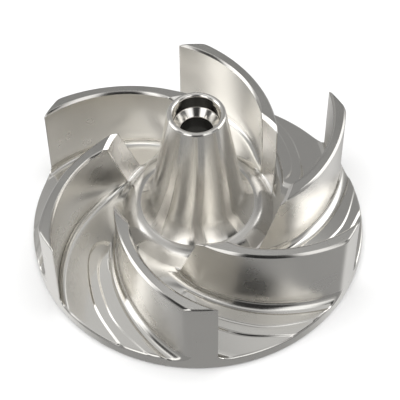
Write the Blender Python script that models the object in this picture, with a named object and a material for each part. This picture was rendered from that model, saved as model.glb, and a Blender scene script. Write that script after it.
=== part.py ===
"""Water pump impeller, milled from one round steel blank.

The blank is turned first: a slim hub cone, a shoulder at its foot, the eye cone that later
becomes the blades' inlet faces, and one flat top. Six channels are then milled between the
blades with a ball-ended tool, which leaves rounded roots along both walls. Units are metres,
+Z is up the shaft axis, and z = 0 is the flat back face.
"""
import math

import bpy
import bmesh

# Blank
OUTER_RADIUS = 0.075
BLADE_TOP = 0.0447
RIM_THICKNESS = 0.0056
EDGE_CHAMFER = 0.0005
TURNED_SIDES = 72

# Hub nose and cone
NOSE_TOP = 0.0793
NOSE_RADIUS = 0.01245
LIP_ROUNDING = 0.00115
CONE_TAPER = 0.16
CONE_FOOT_FILLET = 0.0056

# Recess for the bolt head, its sloping seat, the bolt hole and the shaft socket below
RECESS_RADIUS = 0.0100
RECESS_DEPTH = 0.0071
BORE_RADIUS = 0.0069
BORE_LENGTH = 0.0060
SOCKET_TOP_RADIUS = 0.0098
SOCKET_TAPER = 0.05

# Hub shoulder and the eye, where the blades begin
ANNULUS_TOP = 0.0212
SHOULDER_RADIUS = 0.0282
SHOULDER_ROUNDING = 0.0014
HUB_SLOPE_END = 0.0345
EYE_FLOOR_RADIUS = 0.0356
EYE_FLOOR = 0.0150
EYE_TOP_RADIUS = 0.0411

# Blades, each a wall of nearly even thickness on a spiral
BLADES = 6
FIRST_BLADE_ANGLE = math.radians(-88.6)
INLET_BLADE_ANGLE = math.radians(34.1)
OUTLET_BLADE_ANGLE = math.radians(26.6)
BLADE_FLATTENING = 3
END_WALL = 0.0063
MIDDLE_WALL = 0.0050

# Channels between the blades
ROOT_FILLET = 0.0035
FLOOR_FALL = math.radians(9.4)
CHANNEL_START = 0.0349
CHANNEL_END = 0.0790
CUT_TOP = 0.0500
RADIAL_STATIONS = 22
FILLET_STEPS = 4
FLOOR_STEPS = 6

STEEL_COLOUR = (0.62, 0.61, 0.59, 1.0)
STEEL_ROUGHNESS = 0.28


def arc(centre_r, centre_z, radius, start, end, steps):
    """Points of an arc in the turned profile, with both angles in degrees."""
    points = []
    for i in range(steps + 1):
        angle = math.radians(start + (end - start) * i / steps)
        points.append((centre_r + radius * math.cos(angle), centre_z + radius * math.sin(angle)))
    return points


def cone_radius(z):
    """Outer radius of the hub cone at a height."""
    return NOSE_RADIUS + CONE_TAPER * (NOSE_TOP - z)


def hub_fall():
    """Angle of the slope from the hub's shoulder down to the eye, below level."""
    return math.atan2(ANNULUS_TOP - EYE_FLOOR, HUB_SLOPE_END - SHOULDER_RADIUS)


def blank_profile():
    """The turned outline, down the outside from the nose, across the back and up the hole."""
    taper = math.degrees(math.atan(CONE_TAPER))
    lip_z = NOSE_TOP - LIP_ROUNDING
    profile = arc(NOSE_RADIUS - LIP_ROUNDING, lip_z, LIP_ROUNDING, 90, taper, 3)

    foot_z = ANNULUS_TOP + CONE_FOOT_FILLET
    foot_r = cone_radius(foot_z) + CONE_FOOT_FILLET / math.cos(math.radians(taper))
    profile += arc(foot_r, foot_z, CONE_FOOT_FILLET, 180 + taper, 270, 4)

    fall = math.degrees(hub_fall())
    corner_r = SHOULDER_RADIUS - SHOULDER_ROUNDING * math.tan(math.radians(fall / 2))
    profile += arc(corner_r, ANNULUS_TOP - SHOULDER_ROUNDING, SHOULDER_ROUNDING, 90, 90 - fall, 3)

    profile += [(HUB_SLOPE_END, EYE_FLOOR), (EYE_FLOOR_RADIUS, EYE_FLOOR)]
    profile += [(EYE_TOP_RADIUS, BLADE_TOP), (OUTER_RADIUS, BLADE_TOP)]
    profile += [(OUTER_RADIUS, EDGE_CHAMFER), (OUTER_RADIUS - EDGE_CHAMFER, 0.0)]

    seat_top = NOSE_TOP - RECESS_DEPTH
    seat_end = seat_top - (RECESS_RADIUS - BORE_RADIUS)
    socket_top = seat_end - BORE_LENGTH
    socket_mouth = SOCKET_TOP_RADIUS + SOCKET_TAPER * socket_top
    profile += [(socket_mouth + EDGE_CHAMFER, 0.0), (socket_mouth, EDGE_CHAMFER)]
    profile += [(SOCKET_TOP_RADIUS, socket_top), (BORE_RADIUS, socket_top)]
    profile += [(BORE_RADIUS, seat_end), (RECESS_RADIUS, seat_top)]
    profile += arc(RECESS_RADIUS + LIP_ROUNDING, lip_z, LIP_ROUNDING, 180, 90, 3)
    return profile


def make_blank():
    """Turn the outline about the shaft axis."""
    mesh = bmesh.new()
    verts = [mesh.verts.new((r, 0.0, z)) for r, z in blank_profile()]
    edges = [mesh.edges.new((verts[i - 1], verts[i])) for i in range(len(verts))]
    bmesh.ops.spin(mesh, geom=verts + edges, cent=(0, 0, 0), axis=(0, 0, 1),
                   angle=math.tau, steps=TURNED_SIDES, use_merge=True)
    bmesh.ops.remove_doubles(mesh, verts=mesh.verts, dist=1e-6)
    bmesh.ops.recalc_face_normals(mesh, faces=mesh.faces)
    data = bpy.data.meshes.new("impeller")
    mesh.to_mesh(data)
    mesh.free()
    blank = bpy.data.objects.new("impeller", data)
    bpy.context.scene.collection.objects.link(blank)
    return blank


def blade_angle(r):
    """Angle between the blade and the circle through it, smaller towards the outlet."""
    share = (r - EYE_TOP_RADIUS) / (OUTER_RADIUS - EYE_TOP_RADIUS)
    share = min(max(share, 0.0), 1.0)
    return INLET_BLADE_ANGLE - (INLET_BLADE_ANGLE - OUTLET_BLADE_ANGLE) * share ** BLADE_FLATTENING


def blade_sweep(r, steps=40):
    """How far round the axis the blade's middle line is from its outlet, at a radius."""
    step = (r - OUTER_RADIUS) / steps
    total = 0.0
    for i in range(steps):
        middle = OUTER_RADIUS + (i + 0.5) * step
        total += step / (middle * math.tan(blade_angle(middle)))
    return total


def wall_thickness(r):
    """Thickest at both ends of the blade and thinnest halfway."""
    middle = (OUTER_RADIUS + EYE_TOP_RADIUS) / 2
    share = min(abs(r - middle) / (OUTER_RADIUS - middle), 1.0)
    return MIDDLE_WALL + (END_WALL - MIDDLE_WALL) * share ** 2


def side_angle(r, offset):
    """Angle round the axis of a line parallel to the blade, offset from its middle line."""
    return blade_sweep(r) + offset / (r * math.sin(blade_angle(r)))


def floor_curve_radius():
    """The curve that leads smoothly from the hub's slope into the cone that ends at the rim."""
    steep = hub_fall()
    drop = EYE_FLOOR - RIM_THICKNESS - (OUTER_RADIUS - HUB_SLOPE_END) * math.tan(FLOOR_FALL)
    return drop / (math.cos(FLOOR_FALL) - math.cos(steep)
                   - (math.sin(steep) - math.sin(FLOOR_FALL)) * math.tan(FLOOR_FALL))


def floor_height(r):
    """The channel floor: a curve off the hub's slope, then a shallow cone to the rim."""
    curve = floor_curve_radius()
    middle_r = HUB_SLOPE_END + curve * math.sin(hub_fall())
    middle_z = EYE_FLOOR + curve * math.cos(hub_fall())
    if r >= middle_r - curve * math.sin(FLOOR_FALL):
        return RIM_THICKNESS + max(OUTER_RADIUS - r, 0.0) * math.tan(FLOOR_FALL)
    return middle_z - math.sqrt(curve ** 2 - (middle_r - r) ** 2)


def channel_section(r):
    """Angle and height of the cut's underside at a radius, from wall to wall."""
    half_wall = wall_thickness(r) / 2
    pitch = math.tau / BLADES
    floor = floor_height(r)
    near_side = []
    far_side = []
    for i in range(FILLET_STEPS + 1):
        turn = math.radians(90 * i / FILLET_STEPS)
        inset = ROOT_FILLET * (1 - math.cos(turn))
        height = floor + ROOT_FILLET * (1 - math.sin(turn))
        near_side.append((side_angle(r, half_wall + inset), height))
        far_side.append((pitch + side_angle(r, -half_wall - inset), height))
    start = near_side[-1][0]
    width = far_side[-1][0] - start
    level = [(start + width * i / FLOOR_STEPS, floor) for i in range(1, FLOOR_STEPS)]
    return near_side + level + far_side[::-1]


def make_channel():
    """The solid that one channel's milling removes, as a loft of sections along the radius."""
    mesh = bmesh.new()
    rows = []
    for i in range(RADIAL_STATIONS + 1):
        r = CHANNEL_START + (CHANNEL_END - CHANNEL_START) * i / RADIAL_STATIONS
        under = []
        over = []
        for angle, height in channel_section(r):
            x = r * math.cos(angle)
            y = r * math.sin(angle)
            under.append(mesh.verts.new((x, y, height)))
            over.append(mesh.verts.new((x, y, CUT_TOP)))
        rows.append(under + over[::-1])
    count = len(rows[0])
    for inner, outer in zip(rows, rows[1:]):
        for j in range(count):
            mesh.faces.new((inner[j - 1], inner[j], outer[j], outer[j - 1]))
    for row in (rows[0], rows[-1]):
        for j in range(count // 2 - 1):
            mesh.faces.new((row[j], row[j + 1], row[count - 2 - j], row[count - 1 - j]))
    bmesh.ops.recalc_face_normals(mesh, faces=mesh.faces)
    data = bpy.data.meshes.new("channel_cut")
    mesh.to_mesh(data)
    mesh.free()
    return data


def mill_channels(blank):
    """Cut a channel after each blade, then keep the cut shape as the blank's own mesh."""
    cut = make_channel()
    cutters = []
    for k in range(BLADES):
        cutter = bpy.data.objects.new(f"channel_cut_{k + 1}", cut)
        cutter.rotation_euler.z = FIRST_BLADE_ANGLE + k * math.tau / BLADES
        cutter.hide_render = True
        cutter.display_type = "WIRE"
        bpy.context.scene.collection.objects.link(cutter)
        milling = blank.modifiers.new(f"mill_{k + 1}", "BOOLEAN")
        milling.operation = "DIFFERENCE"
        milling.solver = "EXACT"
        milling.object = cutter
        cutters.append(cutter)
    bpy.context.view_layer.update()
    evaluated = blank.evaluated_get(bpy.context.evaluated_depsgraph_get())
    milled = bpy.data.meshes.new_from_object(evaluated)
    blank.modifiers.clear()
    blank.data = milled
    for cutter in cutters:
        bpy.data.objects.remove(cutter)


def steel():
    """Bright machined stainless steel."""
    material = bpy.data.materials.new("machined_steel")
    material.use_nodes = True
    shader = material.node_tree.nodes["Principled BSDF"]
    shader.inputs["Base Color"].default_value = STEEL_COLOUR
    shader.inputs["Metallic"].default_value = 1.0
    shader.inputs["Roughness"].default_value = STEEL_ROUGHNESS
    return material


def main():
    for item in list(bpy.data.objects):
        bpy.data.objects.remove(item)
    impeller = make_blank()
    mill_channels(impeller)
    impeller.data.materials.clear()
    impeller.data.materials.append(steel())
    impeller.data.shade_smooth()
    impeller.data.set_sharp_from_angle(angle=math.radians(25))


main()
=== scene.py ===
# %% [markdown]
# # Water pump impeller
#
# An impeller is the wheel that a pump's shaft spins to throw water outwards. This one was cut
# from a single round bar of stainless steel: a lathe turned the outside, and then a milling
# cutter carved six channels into it, which left six curved blades standing.
#
# The looks are built round a fixed model of the part, which is loaded first. Everything is in
# metres, with the shaft axis along Z and the flat back on z = 0.

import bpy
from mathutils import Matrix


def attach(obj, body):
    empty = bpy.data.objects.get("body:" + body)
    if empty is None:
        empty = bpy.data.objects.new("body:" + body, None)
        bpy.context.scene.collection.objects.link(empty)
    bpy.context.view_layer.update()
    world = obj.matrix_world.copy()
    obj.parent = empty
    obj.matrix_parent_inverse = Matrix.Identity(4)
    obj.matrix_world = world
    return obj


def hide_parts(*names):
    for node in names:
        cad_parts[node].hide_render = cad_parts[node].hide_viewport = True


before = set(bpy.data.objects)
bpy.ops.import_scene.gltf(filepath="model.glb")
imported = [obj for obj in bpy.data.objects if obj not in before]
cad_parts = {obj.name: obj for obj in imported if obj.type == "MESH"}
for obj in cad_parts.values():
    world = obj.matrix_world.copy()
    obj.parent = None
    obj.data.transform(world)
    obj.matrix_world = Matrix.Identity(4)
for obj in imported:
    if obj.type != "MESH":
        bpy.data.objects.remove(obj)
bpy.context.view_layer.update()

# %% Tools used below
import math

import bmesh
import bpy
from mathutils import Matrix, Vector

MM = 0.001
print("one millimetre is", MM, "m")

# %% [markdown]
# ## The camera
#
# The photograph looks down at the wheel from the front, with a long lens, so the far rim is hardly
# smaller than the near one. The six blades are evenly spaced, so their corners gave enough known
# points to work out where the camera stood: 52 degrees above the horizon and 0.63 m away. A
# camera can be aimed with a constraint, but three direction vectors in a matrix also take in the
# small tilt of the picture.

# %% Camera
CAMERA_PLACE = Vector((0.0, -381.40 * MM, 505.60 * MM))
LOOK_DOWN = math.radians(51.79)
LOOK_ASIDE = math.radians(0.16)
PICTURE_TILT = math.radians(-0.62)
LENS = 123.85
FARTHEST_SEEN = 50.0


def aim_camera():
    ahead = Vector((math.sin(LOOK_ASIDE) * math.cos(LOOK_DOWN),
                    math.cos(LOOK_ASIDE) * math.cos(LOOK_DOWN), -math.sin(LOOK_DOWN)))
    level = Vector((math.cos(LOOK_ASIDE), -math.sin(LOOK_ASIDE), 0.0))
    upward = level.cross(ahead)
    right = math.cos(PICTURE_TILT) * level + math.sin(PICTURE_TILT) * upward
    up = math.cos(PICTURE_TILT) * upward - math.sin(PICTURE_TILT) * level
    camera = bpy.data.objects.new("camera", bpy.data.cameras.new("camera"))
    camera.data.lens = LENS
    camera.data.clip_end = FARTHEST_SEEN
    bpy.context.scene.collection.objects.link(camera)
    rows = [(right[i], up[i], -ahead[i], CAMERA_PLACE[i]) for i in range(3)]
    camera.matrix_world = Matrix(rows + [(0.0, 0.0, 0.0, 1.0)])
    bpy.context.scene.camera = camera


aim_camera()
print("camera is", round(CAMERA_PLACE.length, 3), "m from the middle of the back face")

# %% [markdown]
# ## The line of a blade
#
# Seen from above, a blade is a wall of nearly even thickness that winds outwards round the hub.
# What a maker sets is the blade angle, between the wall and the circle through it: 34 degrees
# where the water comes in, and 27 where it leaves. Adding up small steps outwards at that angle
# gives the blade's middle line, which a spline through guessed points would only come near.

# %% Blade line
OUTER_RADIUS = 75.0 * MM
INLET_RADIUS = 41.1 * MM
INLET_ANGLE = math.radians(34.1)
OUTLET_ANGLE = math.radians(26.6)
BLADES = 6
FIRST_BLADE = math.radians(-88.6)
PITCH = math.tau / BLADES
THINNEST_WALL = 5.0 * MM
THICKER_AT_ENDS = 1.3 * MM


def blade_angle(r):
    share = min(max((r - INLET_RADIUS) / (OUTER_RADIUS - INLET_RADIUS), 0.0), 1.0)
    return INLET_ANGLE - (INLET_ANGLE - OUTLET_ANGLE) * share ** 3


def blade_turn(r, steps=40):
    """How far round the axis the middle line is from where it leaves, at a radius."""
    step = (r - OUTER_RADIUS) / steps
    places = [OUTER_RADIUS + (i + 0.5) * step for i in range(steps)]
    return sum(step / (place * math.tan(blade_angle(place))) for place in places)


def wall_thickness(r):
    middle = (OUTER_RADIUS + INLET_RADIUS) / 2
    share = min(abs(r - middle) / (OUTER_RADIUS - middle), 1.0)
    return THINNEST_WALL + THICKER_AT_ENDS * share ** 2


def turn_at(r, aside):
    """Angle round the axis of a line that runs beside the blade's middle line."""
    return blade_turn(r) + aside / (r * math.sin(blade_angle(r)))


print("a blade winds", round(-math.degrees(blade_turn(INLET_RADIUS))), "degrees round the hub")

# %% [markdown]
# ## Height of the channel floor
#
# A straight slope comes down from the hub. At its foot the floor leaves it in a wide curve, and
# then falls as a shallow cone to the rim. This could be a profile curve, but a function of the
# radius for each height keeps every part of the mesh agreed on where they meet. The curve has to
# touch both the slope and the cone, which gives its radius.

# %% Floor height
RIM = 5.6 * MM
RING_TOP = 21.2 * MM
SHOULDER_RADIUS = 28.2 * MM
HUB_FOOT_RADIUS = 34.5 * MM
HUB_FOOT = 15.0 * MM
FLOOR_FALL = math.radians(9.4)

hub_fall = math.atan2(RING_TOP - HUB_FOOT, HUB_FOOT_RADIUS - SHOULDER_RADIUS)
curve_drop = HUB_FOOT - RIM - (OUTER_RADIUS - HUB_FOOT_RADIUS) * math.tan(FLOOR_FALL)
curve_radius = curve_drop / (math.cos(FLOOR_FALL) - math.cos(hub_fall)
                             - (math.sin(hub_fall) - math.sin(FLOOR_FALL)) * math.tan(FLOOR_FALL))
curve_r = HUB_FOOT_RADIUS + curve_radius * math.sin(hub_fall)
curve_z = HUB_FOOT + curve_radius * math.cos(hub_fall)
cone_from = curve_r - curve_radius * math.sin(FLOOR_FALL)


def floor_height(r):
    if r >= cone_from:
        return RIM + (OUTER_RADIUS - r) * math.tan(FLOOR_FALL)
    if r <= HUB_FOOT_RADIUS:
        return HUB_FOOT + (HUB_FOOT_RADIUS - r) * math.tan(hub_fall)
    return curve_z - math.sqrt(curve_radius ** 2 - (curve_r - r) ** 2)


print("the floor curves at", round(curve_radius / MM, 1), "mm and is a cone from",
      round(cone_from / MM, 1), "mm out")

# %% [markdown]
# ## Height of the blades
#
# The lathe left one flat top on all blades and a steep cone down to the hub, which became the
# edges that meet the water first. The corner between the two was filed off. Where the cone comes
# down to the hub's slope, a small rounding joins them. A sharp valley would be simpler, but the
# rounding catches a light line at the foot of each inlet edge, as on the real wheel.

# %% Blade height
BLADE_TOP = 44.7 * MM
INLET_FOOT_RADIUS = 35.6 * MM
INLET_EDGE = 1.40 * MM
VALLEY_ROUNDING = 1.0 * MM

inlet_lean = math.atan2(BLADE_TOP - HUB_FOOT, INLET_RADIUS - INLET_FOOT_RADIUS)
corner_from = INLET_RADIUS - INLET_EDGE / math.tan(inlet_lean)
corner_to = INLET_RADIUS + INLET_EDGE

# Where the hub's slope and the inlet cone would meet, and the rounding that joins them there.
meet_r = ((INLET_FOOT_RADIUS * math.tan(inlet_lean) + HUB_FOOT_RADIUS * math.tan(hub_fall))
          / (math.tan(inlet_lean) + math.tan(hub_fall)))
meet_z = HUB_FOOT - (meet_r - HUB_FOOT_RADIUS) * math.tan(hub_fall)
reach = VALLEY_ROUNDING * math.tan((hub_fall + inlet_lean) / 2)
valley_from = meet_r - reach * math.cos(hub_fall)
valley_to = meet_r + reach * math.cos(inlet_lean)
valley_top = meet_z + reach * math.sin(hub_fall)
valley_r = valley_from + VALLEY_ROUNDING * math.sin(hub_fall)
valley_z = valley_top + VALLEY_ROUNDING * math.cos(hub_fall)


def top_height(r):
    if r <= valley_to:
        return valley_z - math.sqrt(VALLEY_ROUNDING ** 2 - (r - valley_r) ** 2)
    on_cone = HUB_FOOT + (r - INLET_FOOT_RADIUS) * math.tan(inlet_lean)
    on_edge = BLADE_TOP - (corner_to - r) * INLET_EDGE / (corner_to - corner_from)
    return min(on_cone, on_edge, BLADE_TOP)


def top_slope(r):
    near = 0.05 * MM
    return (top_height(r + near) - top_height(r)) / near


print("inlet edges lean", round(math.degrees(inlet_lean)), "degrees and start",
      round(valley_to / MM, 1), "mm out")

# %% [markdown]
# ## Milling passes on the channel floor
#
# The cutter went along each channel several times. Beside the next blade's back its passes left
# two low steps, 0.6 and 0.3 mm high, that curve in to the blade near the hub. The steps are the
# long bright and dark lines on the real floor. They could be drawn with a bump texture, but a
# step catches the light by its real slope, so they go into the mesh.

# %% Milling passes
# For each step: how far it is from the next blade's back, first along the channel, then at the
# rim.
STEP_PLACES = ((15.9 * MM, 13.2 * MM), (10.8 * MM, 7.6 * MM))
STEP_HEIGHTS = (0.60 * MM, 0.30 * MM)
STEP_WIDTH = 1.2 * MM
STRAIGHT_TO = 64.0 * MM
STEPS_FROM = 40.5 * MM
STEPS_FULL = 56.0 * MM


def soft_step(x):
    x = min(max(x, 0.0), 1.0)
    return x * x * (3 - 2 * x)


def step_places(r):
    """Distances of the steps from the next blade's back, at a radius."""
    share = soft_step((r - STRAIGHT_TO) / (OUTER_RADIUS - STRAIGHT_TO))
    short = min(max((STEPS_FULL - r) / (STEPS_FULL - STEPS_FROM), 0.0), 1.0)
    return [(along + (at_rim - along) * share) * (1 - short ** 2)
            for along, at_rim in STEP_PLACES]


def pass_height(r, from_back):
    """Height above the plain floor, at a distance from the next blade's back."""
    if r <= STEPS_FROM:
        return 0.0
    height = 0.0
    for place, later, rise in zip(step_places(r), step_places(r + MM), STEP_HEIGHTS):
        slant = math.hypot(1.0, (later - place) / MM)
        height += rise * soft_step((place - from_back) / (slant * STEP_WIDTH) + 0.5)
    return height


print("milling steps at", [round(place / MM, 1) for place in step_places(STRAIGHT_TO)],
      "mm from a blade's back")

# %% [markdown]
# ## From a blade's top down to the floor
#
# A file has broken the blades' edges nearly flat, which draws a crisp light or dark line beside
# each top. Below the edge the wall is upright, and at its foot the cutter's corner has left a
# root of 3.5 mm radius. A Bevel modifier could round both, but it would guess at the steep inlet
# edges, where the wall is hardly higher than the rounding. Here each may take up only a share of
# the wall's height, so the rounding dies out gently where the blade begins.

# %% One side of a blade
ROOT_RADIUS = 3.5 * MM
BLADE_EDGE = 1.10 * MM
INLET_SIDE_EDGE = 0.35 * MM
EDGE_GROWS_TO = 48.0 * MM
EDGE_POINTS = (0.0, 0.08, 0.36, 0.64, 0.92, 1.0)
EDGE_FLATNESS = 0.75
EDGE_STEPS = len(EDGE_POINTS) - 1
WALL_STEPS = 6
ROOT_STEPS = 8
SIDE_STEPS = EDGE_STEPS + WALL_STEPS + ROOT_STEPS
MOST_EDGE, MOST_DROP, MOST_ROOT = 0.1, 0.2, 0.8


def edge_size(r):
    share = soft_step((r - INLET_RADIUS) / (EDGE_GROWS_TO - INLET_RADIUS))
    return INLET_SIDE_EDGE + (BLADE_EDGE - INLET_SIDE_EDGE) * share


def edge_profile(share):
    """Across and down a broken edge, each from 0 to 1."""
    turn = math.radians(90 * share)
    across = EDGE_FLATNESS * share + (1 - EDGE_FLATNESS) * math.sin(turn)
    down = EDGE_FLATNESS * share + (1 - EDGE_FLATNESS) * (1 - math.cos(turn))
    return across, down


def blade_side(r, inset):
    """Distance from the wall and height of each point, from the top edge to the floor."""
    top = top_height(r) - inset
    floor = floor_height(r) - inset
    tall = max(top - floor, 0.0)
    edge = min(max(edge_size(r) - inset, 0.0), MOST_EDGE * tall)
    lean = top_slope(r) * math.sin(blade_angle(r))
    drop = min(edge * math.hypot(1.0, lean), MOST_DROP * tall)
    root = min(ROOT_RADIUS + inset, MOST_ROOT * tall)
    points = []
    for share in EDGE_POINTS:
        across, down = edge_profile(share)
        points.append((edge * (across - 1), top - drop * down))
    for i in range(1, WALL_STEPS):
        share = i / WALL_STEPS
        points.append((0.0, (top - drop) * (1 - share) + (floor + root) * share))
    for i in range(ROOT_STEPS + 1):
        turn = math.radians(90 * i / ROOT_STEPS)
        points.append((root * (1 - math.cos(turn)), floor + root * (1 - math.sin(turn))))
    return points


print("half way out a blade's side is", round(blade_side(58 * MM, 0.0)[0][1] / MM, 1),
      "mm high at the top, in", SIDE_STEPS, "strips")

# %% [markdown]
# ## Across the floor
#
# Even columns of faces would blur the two milling steps, and fine ones everywhere would make the
# mesh heavy. So the columns are counted off span by span, and the spans over a step get the most.

# %% Floor columns
SPAN_COLUMNS = (5, 8, 4, 8, 6, 4)
FLOOR_COLUMNS = sum(SPAN_COLUMNS)
ROOM_SHARE = 1 / 20
CLOSE_TO_STEP = 0.75 * STEP_WIDTH
ROOMS_BEFORE_STEPS = (7, 3)
ROOMS_PAST_STEP = 6
ROOMS_AT_END = 2


def floor_columns(r, root, width):
    """Distances from the root of the next blade's back, closest together at the steps."""
    room = min(width * ROOM_SHARE, MM)
    far, near = [max(place - root, rooms * room)
                 for place, rooms in zip(step_places(r), ROOMS_BEFORE_STEPS)]
    close = min(CLOSE_TO_STEP, room)
    marks = [0.0, near - close, near + close, far - close, far + close,
             min(far + ROOMS_PAST_STEP * room, width - ROOMS_AT_END * room), width]
    columns = []
    for start, end, count in zip(marks, marks[1:], SPAN_COLUMNS):
        columns += [start + (end - start) * i / count for i in range(count)]
    return columns[1:]


print("a channel floor has", FLOOR_COLUMNS, "columns of faces")

# %% [markdown]
# ## One slice of the wheel
#
# Take a knife round the wheel at one radius and the cut edge is a row of battlements: down a
# wall, round its root, across the floor, up the next wall and over the blade. The slice below
# is that row for one sixth of the turn, as an angle and a height for each point. Slices at many
# radii, joined point to point, make the whole milled side. A Boolean cut would give the same
# shape, but its long thin triangles shade badly on bright metal.

# %% Slice
TOP_STEPS = 16
STEPS_END_BEFORE = 1.2 * MM
side_regions = ["edge"] * EDGE_STEPS + ["wall"] * WALL_STEPS + ["floor"] * ROOT_STEPS
STRIP_REGIONS = (side_regions + ["floor"] * FLOOR_COLUMNS + side_regions[::-1]
                 + ["top"] * TOP_STEPS)


def slice_at(r, inset=0.0):
    """Angle and height of each point of one sixth of the row."""
    half = wall_thickness(r) / 2 - inset
    side = blade_side(r, inset)
    across = r * math.sin(blade_angle(r))
    front = [(turn_at(r, half + away), z) for away, z in side]
    back = [(PITCH + turn_at(r, -half - away), z) for away, z in reversed(side)]
    floor = floor_height(r) - inset
    width = (back[0][0] - front[-1][0]) * across
    root = side[-1][0]
    middle = []
    for gone in reversed(floor_columns(r, root, width)):
        ends = min(gone, width - gone) / STEPS_END_BEFORE
        height = floor + pass_height(r, root + gone) * soft_step(ends)
        middle.append((back[0][0] - gone / across, height))
    first = turn_at(r, -half) + PITCH
    last = turn_at(r, half) + PITCH
    edge = -side[0][0] / across
    crest = [(first + edge + (last - first - 2 * edge) * i / TOP_STEPS, side[0][1])
             for i in range(1, TOP_STEPS)]
    return front + middle + back + crest


print(len(slice_at(60 * MM)), "points in each sixth of a slice,", len(STRIP_REGIONS), "strips")

# %% [markdown]
# ## Where the slices go
#
# A slice is needed wherever the shape changes along the radius: round the valley at the hub,
# close together up the steep inlet edges and round their corner, evenly along the blades, and
# then three more round the outer edge. Those three are each drawn in a little, so that the edge
# comes out softly broken. They stop just short of a quarter turn, because the last bit would
# only make slivers.

# %% Slice radii
VALLEY_SLICES = 8
INLET_SLICES = 14
MAIN_SLICES = 66
RIM_SLICES = 3
RIM_EDGE = 0.80 * MM
RIM_TURN = math.radians(90) * 0.94


def slice_radii():
    """Radius of each slice, and how far it is drawn in."""
    slices = []
    for i in range(VALLEY_SLICES):
        turn = -hub_fall + (hub_fall + inlet_lean) * i / VALLEY_SLICES
        slices.append((valley_r + VALLEY_ROUNDING * math.sin(turn), 0.0))
    slices += [(valley_to + (corner_from - valley_to) * i / INLET_SLICES, 0.0)
               for i in range(INLET_SLICES + 1)]
    slices += [(corner_from + (corner_to - corner_from) * share, 0.0)
               for share in EDGE_POINTS[1:]]
    rim_start = OUTER_RADIUS - RIM_EDGE
    slices += [(corner_to + (rim_start - corner_to) * i / MAIN_SLICES, 0.0)
               for i in range(1, MAIN_SLICES + 1)]
    for i in range(1, RIM_SLICES + 1):
        turn = RIM_TURN * i / RIM_SLICES
        slices.append((rim_start + RIM_EDGE * math.sin(turn), RIM_EDGE * (1 - math.cos(turn))))
    widest = slices[-1][0]
    return [(r * OUTER_RADIUS / widest if r > rim_start else r, inset) for r, inset in slices]


SLICES = slice_radii()
print(len(SLICES), "slices from", round(SLICES[0][0] / MM, 1), "to",
      round(SLICES[-1][0] / MM, 1), "mm")

# %% [markdown]
# ## The milled side
#
# Each slice becomes a ring of vertices, six times the row, and neighbouring rings are joined with
# four-sided faces. A grid with a modifier could bend into this shape too, but plain rings let
# each strip remember which tool cut it.

# %% Milled side
JUST = 0.01 * MM


def ring_point(r, angle, z):
    return (r * math.cos(angle), r * math.sin(angle), z)


def add_slices(mesh, region_of):
    """All slices as rings of vertices, joined into faces. Gives the rings back."""
    rings = []
    for r, inset in SLICES:
        sixth = slice_at(r, inset)
        ring = []
        for k in range(BLADES):
            start = FIRST_BLADE + k * PITCH
            ring += [mesh.verts.new(ring_point(r, start + angle, z)) for angle, z in sixth]
        rings.append(ring)
    count = len(rings[0])
    for inner, outer in zip(rings, rings[1:]):
        inlet = outer[0].co.xy.length < corner_to + JUST
        for j in range(count):
            k = (j + 1) % count
            region = STRIP_REGIONS[j % len(STRIP_REGIONS)]
            if region == "top" and inlet:
                region = "inlet"
            region_of[mesh.faces.new((inner[j], outer[j], outer[k], inner[k]))] = region
    return rings


print("the milled side will have", BLADES * len(STRIP_REGIONS), "strips")

# %% [markdown]
# ## The outlet faces
#
# The outer ends of the blades lie on the cylinder that the lathe turned. Rows of points at
# matching heights go straight across from one wall's edge to the other, so they share the walls'
# own points and no seam is left. A single many-sided face would be quicker, but it would be
# flat, and the real one is curved.

# %% Outlet faces


def close_outlets(mesh, ring, region_of):
    """Outlet faces between the walls of the last ring. Gives the rim's upper row back."""
    sixth = len(ring) // BLADES
    bottom = []
    for k in range(BLADES):
        end = (k + 1) * sixth
        up = [ring[(end - TOP_STEPS - i) % len(ring)] for i in range(SIDE_STEPS + 1)]
        down = [ring[(end + i) % len(ring)] for i in range(SIDE_STEPS + 1)]
        above = [ring[(end - TOP_STEPS + i) % len(ring)] for i in range(TOP_STEPS + 1)]
        for left, right in zip(up[1:], down[1:]):
            start = math.atan2(left.co.y, left.co.x)
            swing = (math.atan2(right.co.y, right.co.x) - start) % math.tau
            row = [mesh.verts.new(ring_point(OUTER_RADIUS, start + swing * i / TOP_STEPS,
                                             left.co.z)) for i in range(1, TOP_STEPS)]
            row = [left] + row + [right]
            for i in range(TOP_STEPS):
                face = mesh.faces.new((above[i], row[i], row[i + 1], above[i + 1]))
                region_of[face] = "outlet"
            above = row
        floor_start = k * sixth + SIDE_STEPS
        bottom += ring[floor_start:floor_start + FLOOR_COLUMNS] + above[:-1]
    return bottom


print("outlet faces have", TOP_STEPS, "columns and", SIDE_STEPS, "rows")

# %% [markdown]
# ## The outside of the hub
#
# The hub was turned on the lathe: a slim cone with a rounded lip, and a ring at its foot that
# rolls over into a rounded shoulder. It is an outline of radius and height that is swept round
# the axis, as the lathe does it. A cone primitive with a bevel would miss two things that show:
# the cone flares out and meets the ring in a crisp corner, where its bright streaks end sharply,
# and the wide shoulder draws a second light line round the ring.

# %% Hub outline
NOSE_TOP = 79.3 * MM
NOSE_RADIUS = 12.45 * MM
LIP_ROUNDING = 1.15 * MM
CONE_TAPER = 0.16
FOOT_END = math.radians(50.0)
FOOT_END_RADIUS = 25.4 * MM
SHOULDER_START = 25.9 * MM
SHOULDER_ROUNDING = 7.0 * MM
LIP_STEPS, CONE_STEPS, FOOT_STEPS, SHOULDER_STEPS, SLOPE_STEPS = 6, 10, 12, 10, 4

cone_lean = math.atan(CONE_TAPER)
cone_at_ring = NOSE_RADIUS + CONE_TAPER * (NOSE_TOP - RING_TOP)
foot_curve = ((FOOT_END_RADIUS - cone_at_ring)
              / (math.cos(cone_lean) - math.cos(FOOT_END)
                 - CONE_TAPER * (math.sin(FOOT_END) - math.sin(cone_lean))))


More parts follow.
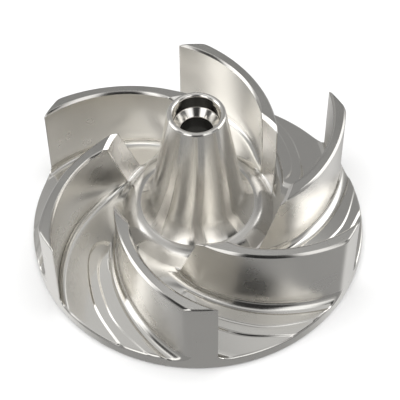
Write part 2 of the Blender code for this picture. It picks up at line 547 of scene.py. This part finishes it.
def arc(centre_r, centre_z, radius, start, end, steps):
    angles = [math.radians(start + (end - start) * i / steps) for i in range(steps + 1)]
    return [(centre_r + radius * math.cos(a), centre_z + radius * math.sin(a)) for a in angles]


def between(start, end, steps):
    return [(start[0] + (end[0] - start[0]) * i / steps,
             start[1] + (end[1] - start[1]) * i / steps) for i in range(1, steps)]


def hub_outline():
    """Down the outside of the hub, from the nose to where the channels begin."""
    lean = math.degrees(cone_lean)
    nose = arc(NOSE_RADIUS - LIP_ROUNDING, NOSE_TOP - LIP_ROUNDING, LIP_ROUNDING,
               90, lean, LIP_STEPS)
    foot = arc(FOOT_END_RADIUS + foot_curve * math.cos(FOOT_END),
               RING_TOP + foot_curve * math.sin(FOOT_END), foot_curve,
               180 + lean, 180 + math.degrees(FOOT_END), FOOT_STEPS)
    end = (valley_from, valley_top)
    away = (end[0] - SHOULDER_START, end[1] - RING_TOP + SHOULDER_ROUNDING)
    fall = 90 - math.degrees(math.atan2(away[1], away[0])
                             + math.acos(SHOULDER_ROUNDING / math.hypot(*away)))
    shoulder = arc(SHOULDER_START, RING_TOP - SHOULDER_ROUNDING, SHOULDER_ROUNDING,
                   90, 90 - fall, SHOULDER_STEPS)
    return (nose + between(nose[-1], foot[0], CONE_STEPS) + foot + shoulder
            + between(shoulder[-1], end, SLOPE_STEPS) + [end])


print(len(hub_outline()), "points on the hub's outline, its foot curves at",
      round(foot_curve / MM, 1), "mm")

# %% [markdown]
# ## The hole down the hub
#
# In the nose a short recess takes a bolt's head, which sits on a polished sloping seat. A narrow
# dark hole goes down from there, dark from its own shade and from painted shade in its colour,
# and from the back a tapered socket fits the shaft. The outline is drawn down through all of it,
# because a hole that is swept with the rest leaves the wheel one closed body, without a cut.

# %% Hole outline
RECESS_RADIUS = 10.0 * MM
RECESS_DEPTH = 7.1 * MM
BORE_RADIUS = 6.9 * MM
BORE_LENGTH = 6.0 * MM
SOCKET_TOP_RADIUS = 9.8 * MM
SOCKET_TAPER = 0.05
SEAT_EDGE = 0.35 * MM
# Points of the seat's two soft corners: out and up from the corner, as shares of SEAT_EDGE.
UPPER_CORNER = ((0.0, 1.0), (-0.3, 0.0), (-1.0, -0.8))
LOWER_CORNER = ((0.7, 0.7), (0.2, 0.0), (0.0, -1.0))

recess_floor = NOSE_TOP - RECESS_DEPTH
seat_end = recess_floor - (RECESS_RADIUS - BORE_RADIUS)


def hole_outline():
    """Down the hole, from the lip to the mouth of the socket."""
    lip = arc(RECESS_RADIUS + LIP_ROUNDING, NOSE_TOP - LIP_ROUNDING, LIP_ROUNDING,
              90, 180, LIP_STEPS)
    seat = [(RECESS_RADIUS + out * SEAT_EDGE, recess_floor + up * SEAT_EDGE)
            for out, up in UPPER_CORNER]
    seat += [(BORE_RADIUS + out * SEAT_EDGE, seat_end + up * SEAT_EDGE)
             for out, up in LOWER_CORNER]
    socket_top = seat_end - BORE_LENGTH
    mouth = SOCKET_TOP_RADIUS + SOCKET_TAPER * socket_top
    socket = [(BORE_RADIUS, socket_top), (SOCKET_TOP_RADIUS, socket_top), (mouth, RIM_EDGE),
              (mouth + RIM_EDGE, 0.0)]
    return [(NOSE_RADIUS - LIP_ROUNDING, NOSE_TOP)] + lip + seat + socket


print(len(hole_outline()), "points down the hole")

# %% [markdown]
# ## Sweeping an outline
#
# A Screw modifier could sweep the outlines, but its points would be evenly spaced. The sweep
# below uses the angles of the innermost slice, so the turned and the milled sides meet point to
# point. Each face is also told its region, because a turned cone, a milled floor and a polished
# seat don't shine alike.

# %% Sweep
SAME_ANGLE = 1e-5


def sweep(mesh, outline, angles, region_of, region_at):
    """An outline carried round the axis. region_at tells a face's region from its height."""
    rings = [[mesh.verts.new(ring_point(r, angle, z)) for angle in angles] for r, z in outline]
    for i, (upper, lower) in enumerate(zip(rings, rings[1:])):
        for j in range(len(angles)):
            k = (j + 1) % len(angles)
            face = mesh.faces.new((upper[j], lower[j], lower[k], upper[k]))
            region_of[face] = region_at(max(outline[i][1], outline[i + 1][1]))
    return rings


def hub_region(height):
    return "cone" if height > RING_TOP + JUST else "hub"


def hole_region(height):
    return "seat" if height > seat_end - JUST else "hole"


def different_angles(ring):
    """The angles of a ring's points in order, once each."""
    kept = []
    for angle in sorted(math.atan2(v.co.y, v.co.x) % math.tau for v in ring):
        if not kept or angle - kept[-1] > SAME_ANGLE:
            kept.append(angle)
    return kept


print("outlines are swept at the slices' own angles, to", SAME_ANGLE, "rad")

# %% [markdown]
# ## The rim and the back
#
# Below the channels the lathe left a plain band, and a file broke its lower edge. The back is
# one flat face between that edge and the mouth of the socket. The photograph doesn't show it, so
# it is left plain. Bridging the two loops fills it with even faces and keeps the hole open.

# %% Rim and back


def loop_edges(mesh, loop):
    return [mesh.edges.get((loop[j], loop[(j + 1) % len(loop)])) for j in range(len(loop))]


def close_back(mesh, bottom, mouth, region_of):
    """Rim band, its broken lower edge and the back face round the socket's mouth."""
    turns = [math.atan2(v.co.y, v.co.x) for v in bottom]
    lower = [mesh.verts.new(ring_point(OUTER_RADIUS, turn, RIM_EDGE)) for turn in turns]
    under = [mesh.verts.new(ring_point(OUTER_RADIUS - RIM_EDGE, turn, 0.0)) for turn in turns]
    for upper, below, region in ((bottom, lower, "outlet"), (lower, under, "edge")):
        for j in range(len(bottom)):
            k = (j + 1) % len(bottom)
            region_of[mesh.faces.new((upper[j], below[j], below[k], upper[k]))] = region
    loops = loop_edges(mesh, under) + loop_edges(mesh, mouth)
    for face in bmesh.ops.bridge_loops(mesh, edges=loops)["faces"]:
        region_of[face] = "back"


print("the rim band is", round((RIM - RIM_EDGE) / MM, 1), "mm high above its broken edge")

# %% [markdown]
# ## The whole wheel as one mesh
#
# The real wheel is one piece of metal, so it is one closed mesh. Doubled points, which come from
# slices whose walls have no height yet, are merged. Crisp corners are marked sharp by their
# angle, and weighted normals let flat faces shade flat beside the narrow broken edges.

# %% Build the wheel
FINISH_OF_REGION = {"cone": 0, "hub": 1, "top": 2, "inlet": 3, "outlet": 4, "edge": 5,
                    "wall": 6, "floor": 7, "seat": 8, "hole": 9, "back": 10}
SAME_POINT = 1e-6
SHARP_FROM = math.radians(38)


def show_mesh(mesh, name):
    """Turns a finished bmesh into an object in the scene."""
    bmesh.ops.remove_doubles(mesh, verts=mesh.verts, dist=SAME_POINT)
    bmesh.ops.recalc_face_normals(mesh, faces=mesh.faces)
    data = bpy.data.meshes.new(name)
    mesh.to_mesh(data)
    mesh.free()
    shown = bpy.data.objects.new(name, data)
    bpy.context.scene.collection.objects.link(shown)
    return shown


def build_wheel():
    mesh = bmesh.new()
    region_of = {}
    rings = add_slices(mesh, region_of)
    angles = different_angles(rings[0])
    sweep(mesh, hub_outline(), angles, region_of, hub_region)
    hole = sweep(mesh, hole_outline()[::-1], angles, region_of, hole_region)
    bottom = close_outlets(mesh, rings[-1], region_of)
    close_back(mesh, bottom, hole[0], region_of)
    for face, region in region_of.items():
        face.material_index = FINISH_OF_REGION[region]
        face.smooth = True
    return show_mesh(mesh, "impeller_wheel")


wheel = build_wheel()
wheel.data.set_sharp_from_angle(angle=SHARP_FROM)
smoothing = wheel.modifiers.new("flat faces shade flat", "WEIGHTED_NORMAL")
smoothing.keep_sharp = True
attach(wheel, "root")
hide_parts("impeller")
triangles = sum(len(face.vertices) - 2 for face in wheel.data.polygons)
print("the wheel has", triangles, "triangles")

# %% [markdown]
# ## Steel in patches
#
# All of it is the same stainless steel. Handling and coolant leave it a touch duller here and
# there, so the roughness and the colour vary in soft patches. An even roughness would be simpler,
# but bright metal without any variation looks like plastic.

# %% Patches
PATCH_SCALE = 60.0
PATCH_DETAIL = 4.0
PATCH_RANGE = (0.3, 0.7)
PATCH_SHADE = 0.93
SMOOTHEST = 0.02


def link(tree, source, target):
    tree.links.new(source, target)


def node(tree, kind, **settings):
    made = tree.nodes.new(kind)
    for name, value in settings.items():
        setattr(made, name, value)
    return made


def noise(tree, place, scale, detail):
    made = node(tree, "ShaderNodeTexNoise")
    made.inputs["Scale"].default_value = scale
    made.inputs["Detail"].default_value = detail
    link(tree, place, made.inputs["Vector"])
    return made.outputs["Fac"]


def add_patches(tree, shader, place, colour, roughness, spread):
    patches = noise(tree, place, PATCH_SCALE, PATCH_DETAIL)
    rough = node(tree, "ShaderNodeMapRange")
    rough.inputs["From Min"].default_value, rough.inputs["From Max"].default_value = PATCH_RANGE
    rough.inputs["To Min"].default_value = max(roughness - spread, SMOOTHEST)
    rough.inputs["To Max"].default_value = roughness + spread
    link(tree, patches, rough.inputs["Value"])
    link(tree, rough.outputs["Result"], shader.inputs["Roughness"])
    tint = node(tree, "ShaderNodeMix", data_type="RGBA")
    tint.inputs["A"].default_value = [c * PATCH_SHADE for c in colour[:3]] + [1.0]
    tint.inputs["B"].default_value = colour
    link(tree, patches, tint.inputs["Factor"])
    link(tree, tint.outputs["Result"], shader.inputs["Base Color"])


print("patches are about", round(1000 / PATCH_SCALE), "mm across")

# %% [markdown]
# ## Tool marks
#
# A lathe tool leaves fine rings round the axis, and a milling cutter leaves a faint grain. Both
# come from one noise texture as a small bump. Where the lathe cut, the noise is given only the
# radius and the height, so it can't change round the axis and comes out as rings. Where the
# cutter went, it is given the place seen from above, which draws the grain down upright walls.
# A wave texture makes rings too, but they would all be alike.

# %% Tool marks
MARK_DETAIL = 2.0


def seen_from_above(tree, place):
    """The position on the wheel with its height left out, and that height."""
    split = node(tree, "ShaderNodeSeparateXYZ")
    link(tree, place, split.inputs["Vector"])
    flat = node(tree, "ShaderNodeCombineXYZ")
    link(tree, split.outputs["X"], flat.inputs["X"])
    link(tree, split.outputs["Y"], flat.inputs["Y"])
    return flat.outputs["Vector"], split.outputs["Z"]


def add_tool_marks(tree, shader, place, turned, depth, size):
    """Gives the bump node back, so that more can be added below it."""
    across, height = seen_from_above(tree, place)
    if turned:
        radius = node(tree, "ShaderNodeVectorMath", operation="LENGTH")
        link(tree, across, radius.inputs[0])
        rings = node(tree, "ShaderNodeCombineXYZ")
        link(tree, radius.outputs["Value"], rings.inputs["X"])
        link(tree, height, rings.inputs["Y"])
        across = rings.outputs["Vector"]
    bump = node(tree, "ShaderNodeBump")
    bump.inputs["Distance"].default_value = depth * MM
    bump.inputs["Strength"].default_value = 1.0
    link(tree, noise(tree, across, 1.0 / (size * MM), MARK_DETAIL), bump.inputs["Height"])
    link(tree, bump.outputs["Normal"], shader.inputs["Normal"])
    return bump


print("marks are made of noise with detail", MARK_DETAIL)

# %% [markdown]
# ## Streaks on turned steel
#
# Turned steel draws each highlight out across its rings, which makes the long streaks down the
# hub's cone. Rings fine enough to do that by themselves would need a huge mesh or flicker, so the
# shader's anisotropy does it, with its tangent round the axis. Polishing has left soft waves
# down the cone that break the streaks up. They are a second bump, from noise that sees only the
# direction from the axis.

# %% Streaks
FLUTES_PER_RADIUS = 5.0
FLUTE_DETAIL = 1.0
QUARTER_TURN = 0.25


def stretch_highlights(tree, shader, stretch):
    round_axis = node(tree, "ShaderNodeTangent", direction_type="RADIAL", axis="Z")
    link(tree, round_axis.outputs["Tangent"], shader.inputs["Tangent"])
    shader.inputs["Anisotropic"].default_value = stretch
    shader.inputs["Anisotropic Rotation"].default_value = QUARTER_TURN


def add_flutes(tree, place, bump, depth):
    outward = node(tree, "ShaderNodeVectorMath", operation="NORMALIZE")
    link(tree, seen_from_above(tree, place)[0], outward.inputs[0])
    soft = node(tree, "ShaderNodeBump")
    soft.inputs["Distance"].default_value = depth * MM
    waves = noise(tree, outward.outputs["Vector"], FLUTES_PER_RADIUS, FLUTE_DETAIL)
    link(tree, waves, soft.inputs["Height"])
    link(tree, soft.outputs["Normal"], bump.inputs["Normal"])


print("about", round(math.tau * FLUTES_PER_RADIUS), "soft waves go round the cone")

# %% [markdown]
# ## Steel finishes
#
# Each tool leaves its own finish, so each region of the wheel gets its own material from one
# recipe: the tall cone is bright and streaky, the blade tops are duller, and the milled floor
# is smooth enough to mirror the sky. Part of that is roughness and streaks, but part is painted
# light and shade: each region's colour is a tone of the same steel, set lighter or darker so that
# it shows as bright as it does in this light. The bore's dark tone is painted shade, and the
# inlet faces' pale tone a painted highlight. A photograph of steel could be wrapped on instead,
# but it would carry one room's light with it.

# %% Finishes
# Tones of one steel, each set lighter or darker per region: painted light and shade, not different
# metals.
PAINTED_BRIGHT_TONE = (0.87, 0.85, 0.81, 1.0)
PAINTED_MIDDLE_TONE = (0.66, 0.645, 0.615, 1.0)
PAINTED_DARKER_TONE = (0.54, 0.53, 0.505, 1.0)
PAINTED_FLOOR_TONE = (0.75, 0.735, 0.70, 1.0)
# The inlet faces' tone, paler than the rest of the steel: a painted highlight.
PAINTED_HIGHLIGHT_TONE = (0.94, 0.92, 0.89, 1.0)
# The bore's tone, much darker than the steel: painted shade in the hole.
PAINTED_SHADE_TONE = (0.32, 0.315, 0.30, 1.0)


def steel_finish(name, colour, roughness, spread, turned, marks, mark_size, stretch=0.0,
                 flutes=0.0):
    """marks, mark_size and flutes are in mm. stretch is how far highlights are drawn out."""
    material = bpy.data.materials.new(name)
    material.use_nodes = True
    tree = material.node_tree
    shader = tree.nodes["Principled BSDF"]
    shader.inputs["Metallic"].default_value = 1.0
    place = node(tree, "ShaderNodeTexCoord").outputs["Object"]
    add_patches(tree, shader, place, colour, roughness, spread)
    bump = add_tool_marks(tree, shader, place, turned, marks, mark_size)
    if stretch:
        stretch_highlights(tree, shader, stretch)
    if flutes:
        add_flutes(tree, place, bump, flutes)
    return material


FINISHES = (
    # The colours below are the painted tones above: light and shade set per region.
    steel_finish("turned_cone_steel", PAINTED_BRIGHT_TONE, 0.15, 0.02, True, 0.001, 0.5, 1.0, 0.13),
    steel_finish("turned_hub_steel", PAINTED_MIDDLE_TONE, 0.20, 0.03, True, 0.002, 0.5, 0.6),
    steel_finish("turned_top_steel", PAINTED_DARKER_TONE, 0.24, 0.04, True, 0.003, 0.4, 0.4),
    # The inlet faces get the pale tone, a painted highlight.
    steel_finish("turned_inlet_steel", PAINTED_HIGHLIGHT_TONE, 0.28, 0.04, True, 0.004, 0.4, 0.8),
    steel_finish("turned_rim_steel", PAINTED_BRIGHT_TONE, 0.30, 0.05, True, 0.004, 0.4),
    steel_finish("broken_edge_steel", PAINTED_MIDDLE_TONE, 0.14, 0.03, True, 0.001, 0.5),
    steel_finish("milled_wall_steel", PAINTED_BRIGHT_TONE, 0.29, 0.03, False, 0.004, 1.5),
    steel_finish("milled_floor_steel", PAINTED_FLOOR_TONE, 0.15, 0.03, False, 0.004, 1.5),
    steel_finish("polished_seat_steel", PAINTED_BRIGHT_TONE, 0.16, 0.03, True, 0.001, 0.5),
    # The bore gets the dark tone, painted shade in the hole.
    steel_finish("painted_shade_bore_steel", PAINTED_SHADE_TONE, 0.35, 0.05, True, 0.003, 0.4),
    steel_finish("faced_back_steel", PAINTED_MIDDLE_TONE, 0.30, 0.05, True, 0.004, 0.4),
)
for finish in FINISHES:
    wheel.data.materials.append(finish)
print(len(FINISHES), "finishes on the wheel")

# %% [markdown]
# ## Floor
#
# The wheel stands on a plain pale floor that curves up far away, like the paper roll in a
# photographer's studio, so every view has a plain background. The metal mirrors the studio sky
# below instead of this paper: the real table was greyer than the white that the photograph was
# cut out on, and a floor that glossy rays pass by lets each be right. It is swept round the axis
# like the hub.

# %% Floor
FLOOR_FLAT = 2.5
FLOOR_CURVE = 1.5
FLOOR_WALL = 2.5
FLOOR_CURVE_STEPS = 12
FLOOR_SIDES = 96
FLOOR_BELOW = 0.05 * MM
PAPER = (0.87, 0.87, 0.87, 1.0)
PAPER_ROUGHNESS = 0.9
PAPER_SHINE = 0.1


def paper():
    material = bpy.data.materials.new("pale_paper")
    material.use_nodes = True
    shader = material.node_tree.nodes["Principled BSDF"]
    shader.inputs["Base Color"].default_value = PAPER
    shader.inputs["Roughness"].default_value = PAPER_ROUGHNESS
    shader.inputs["Specular IOR Level"].default_value = PAPER_SHINE
    return material


def make_floor():
    outline = [(0.0, 0.0), (FLOOR_FLAT, 0.0)]
    for i in range(1, FLOOR_CURVE_STEPS + 1):
        turn = math.radians(90 * i / FLOOR_CURVE_STEPS)
        outline.append((FLOOR_FLAT + FLOOR_CURVE * math.sin(turn),
                        FLOOR_CURVE * (1 - math.cos(turn))))
    outline.append((FLOOR_FLAT + FLOOR_CURVE, FLOOR_CURVE + FLOOR_WALL))
    outline = [(r, z - FLOOR_BELOW) for r, z in outline]
    angles = [math.tau * k / FLOOR_SIDES for k in range(FLOOR_SIDES)]
    mesh = bmesh.new()
    sweep(mesh, outline, angles, {}, lambda height: "paper")
    made = show_mesh(mesh, "floor")
    made.data.shade_smooth()
    made.data.materials.append(paper())
    made.visible_glossy = False
    made.visible_diffuse = False
    made.visible_shadow = False
    return made


floor = make_floor()
print("floor is flat for", FLOOR_FLAT, "m all round")

# %% [markdown]
# ## What the room looked like
#
# Bright metal has almost no look of its own: it shows the room. The reflections in the
# photograph tell what that room was: a tall bright panel on each side, softer light high up all
# round with brighter patches in front, dark gaps beside them and where the camera stood, and a
# grey table that is lit from both sides. Area lamps and cards could build this room, but they
# would stand in the way of other views, so it is a list of panels in the sky.

# %% Panels of the studio sky
# Each panel: middle azimuth and elevation, half width and half height, softness (degrees), and
# how much light it adds or takes away. Azimuth runs from the camera's side towards the right.
SKY_HIGH = 0.66
SKY_LOW = 0.45
SKY_STEP_AT = 52.5
SKY_STEP_SOFT = 3.0
TABLE_GREY = 0.31
TABLE_SOFT = 2.0
DARKEST = 0.02
SKY_PANELS = {
    "left bank": (-91.5, 19.0, 17.0, 23.5, 5.0, 1.42),
    "left bank's top": (-107.0, 46.5, 19.0, 9.0, 4.0, 1.26),
    "right bank": (103.0, 20.0, 21.0, 24.5, 5.5, 1.23),
    "right bank's top": (104.0, 40.0, 22.5, 10.5, 3.5, 0.99),
    "front left": (-33.5, 31.0, 14.5, 25.5, 4.5, 1.02),
    "front left, high": (-51.5, 55.5, 28.5, 7.0, 4.5, 0.47),
    "front right": (36.0, 40.0, 18.0, 19.0, 4.5, 0.87),
    "gap at the camera": (1.0, 29.0, 21.0, 31.5, 5.0, -0.42),
    "behind, high": (180.0, 61.0, 15.5, 5.0, 3.5, 0.55),
    "gap on the right": (62.0, 39.0, 18.5, 13.5, 4.5, -0.43),
    "behind, low": (169.0, 30.5, 31.5, 23.0, 8.5, -0.12),
    "overhead": (0.0, 89.5, 180.0, 11.5, 4.5, -0.42),
    "table, left": (-119.5, -50.0, 32.0, 33.5, 17.5, 0.52),
    "table, right": (118.5, -45.5, 27.0, 38.5, 22.0, 0.42),
    "gap on the left": (-65.0, 32.0, 20.0, 12.0, 4.0, -0.40),
    "behind, left": (-139.0, 50.5, 11.5, 7.5, 6.0, 0.10),
}
print("the sky has", len(SKY_PANELS), "panels")

# %% [markdown]
# ## Sums and soft edges with nodes
#
# A panel is a patch of the sky that is 1 inside and falls softly to 0 round it. Nodes can do
# this with plain sums: the distance from the panel's middle, folded so that it also works across
# the line where 180 degrees meets -180, and then a smooth ramp from its outer to its inner edge.
# Gradient images would do as well, but sums stay sharp at any size.

# %% Sky helpers


def number(tree, operation, a, b=None):
    """A sum of two values, each a plain number or another node's output."""
    made = node(tree, "ShaderNodeMath", operation=operation)
    for socket, value in zip(made.inputs, (a, b)):
        if isinstance(value, (int, float)):
            socket.default_value = value
        elif value is not None:
            link(tree, value, socket)
    return made.outputs["Value"]


def ramp(tree, value, start, end):
    """0 at start and 1 at end, with soft shoulders."""
    made = node(tree, "ShaderNodeMapRange", interpolation_type="SMOOTHSTEP")
    made.inputs["From Min"].default_value = start
    made.inputs["From Max"].default_value = end
    link(tree, value, made.inputs["Value"])
    return made.outputs["Result"]


def inside(tree, value, middle, half, soft):
    """1 within half of the middle, falling softly to 0."""
    away = number(tree, "PINGPONG", number(tree, "SUBTRACT", value, middle), 180.0)
    return ramp(tree, away, half + soft, half - soft)


print("panels fade over", SKY_PANELS["left bank"][4] * 2, "degrees or so")

# %% [markdown]
# ## Studio sky
#
# The world's shader starts from the direction that a ray leaves in, as an azimuth and an
# elevation. It begins with the table below, a dim sky above and a brighter one higher up, and
# then adds the panels one by one.

# %% Studio sky


def sky_angles(tree):
    """Elevation and azimuth of the direction looked in, in degrees."""
    split = node(tree, "ShaderNodeSeparateXYZ")
    link(tree, node(tree, "ShaderNodeTexCoord").outputs["Generated"], split.inputs["Vector"])
    x, y, z = (split.outputs[axis] for axis in "XYZ")
    elevation = number(tree, "MULTIPLY", number(tree, "ARCSINE", z), 180 / math.pi)
    behind = number(tree, "MULTIPLY", y, -1.0)
    azimuth = number(tree, "MULTIPLY", number(tree, "ARCTAN2", x, behind), 180 / math.pi)
    return elevation, azimuth


def make_sky():
    world = bpy.data.worlds.new("studio")
    bpy.context.scene.world = world
    world.use_nodes = True
    tree = world.node_tree
    elevation, azimuth = sky_angles(tree)
    high = ramp(tree, elevation, SKY_STEP_AT - SKY_STEP_SOFT, SKY_STEP_AT + SKY_STEP_SOFT)
    total = number(tree, "ADD", number(tree, "MULTIPLY", high, SKY_HIGH - SKY_LOW), SKY_LOW)
    above = ramp(tree, elevation, -TABLE_SOFT, 0.0)
    total = number(tree, "MULTIPLY", number(tree, "SUBTRACT", total, TABLE_GREY), above)
    total = number(tree, "ADD", total, TABLE_GREY)
    for middle, height, half_wide, half_tall, soft, strength in SKY_PANELS.values():
        level = inside(tree, elevation, height, half_tall, soft)
        if half_wide < 180:
            level = number(tree, "MULTIPLY", level, inside(tree, azimuth, middle, half_wide, soft))
        total = number(tree, "ADD", number(tree, "MULTIPLY", level, strength), total)
    total = number(tree, "MAXIMUM", total, DARKEST)
    link(tree, total, tree.nodes["Background"].inputs["Color"])


make_sky()
bpy.context.scene.view_settings.view_transform = "Standard"
print("studio sky is between", DARKEST, "and about",
      round(SKY_LOW + max(panel[-1] for panel in SKY_PANELS.values()), 2))

# %% [markdown]
# ## A lamp for the paper
#
# The paper shows white in the photograph, while the dim sky alone would leave it grey. A wide
# lamp high above brightens the paper, and glossy rays don't see it, so the metal keeps its look.

# %% Paper lamp
LAMP_WIDTH = 3.0
LAMP_HEIGHT = 3.0
LAMP_WATTS = 60.0


def make_paper_lamp():
    lamp = bpy.data.lights.new("paper_light", "AREA")
    lamp.shape = "DISK"
    lamp.size = LAMP_WIDTH
    lamp.energy = LAMP_WATTS
    light = bpy.data.objects.new("paper_light", lamp)
    light.location = (0.0, 0.0, LAMP_HEIGHT)
    light.visible_glossy = False
    light.visible_camera = False
    bpy.context.scene.collection.objects.link(light)


make_paper_lamp()
print("paper lamp hangs", LAMP_HEIGHT, "m above the floor")
